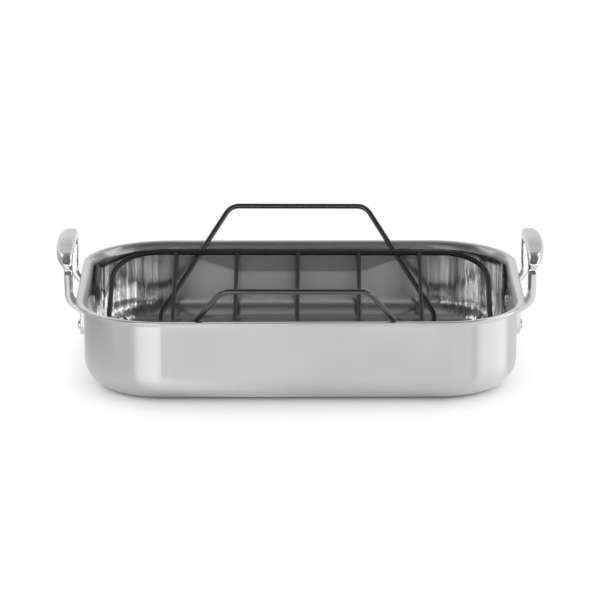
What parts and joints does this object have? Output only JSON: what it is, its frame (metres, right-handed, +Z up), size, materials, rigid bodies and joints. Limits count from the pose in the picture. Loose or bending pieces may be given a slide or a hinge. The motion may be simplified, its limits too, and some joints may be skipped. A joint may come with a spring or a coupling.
{
  "type": "roasting pan with rack",
  "caption": "Rounded rectangular stainless roasting pan with riveted loop handles and a lift-out V-shaped rack of black coated wire.",
  "frame": {"origin": "middle of the pan's underside, on the surface that it stands on", "axes": "+X along the pan towards its right handle, +Y across the pan away from the viewer, +Z up"},
  "size_m": [0.3844, 0.2722, 0.1012],
  "materials": {
    "pan_steel": "satin outside, polished inside",
    "handle_steel": "polished casting",
    "rivet_steel": "polished",
    "coated_wire": "satin non-stick coating"
  },
  "bodies": {
    "pan": {"pan_body": "pan_steel", "handle_right": "handle_steel", "handle_left": "handle_steel", "rivet_right_front": "rivet_steel", "rivet_right_back": "rivet_steel", "rivet_left_front": "rivet_steel", "rivet_left_back": "rivet_steel"},
    "rack": {"rack_frame_wire": "coated_wire", "rack_cross_wire_1": "coated_wire", "rack_cross_wire_2": "coated_wire", "rack_cross_wire_3": "coated_wire", "rack_cross_wire_4": "coated_wire", "rack_cross_wire_5": "coated_wire", "rack_keel_wire_front": "coated_wire", "rack_keel_wire_back": "coated_wire", "rack_handle_wire_front": "coated_wire", "rack_handle_wire_back": "coated_wire"}
  },
  "joints": [
    {"name": "rack_lift", "type": "slide", "parent": "pan", "child": "rack", "axis": [0, 0, 1], "range_m": [0, 0.12]}
  ]
}
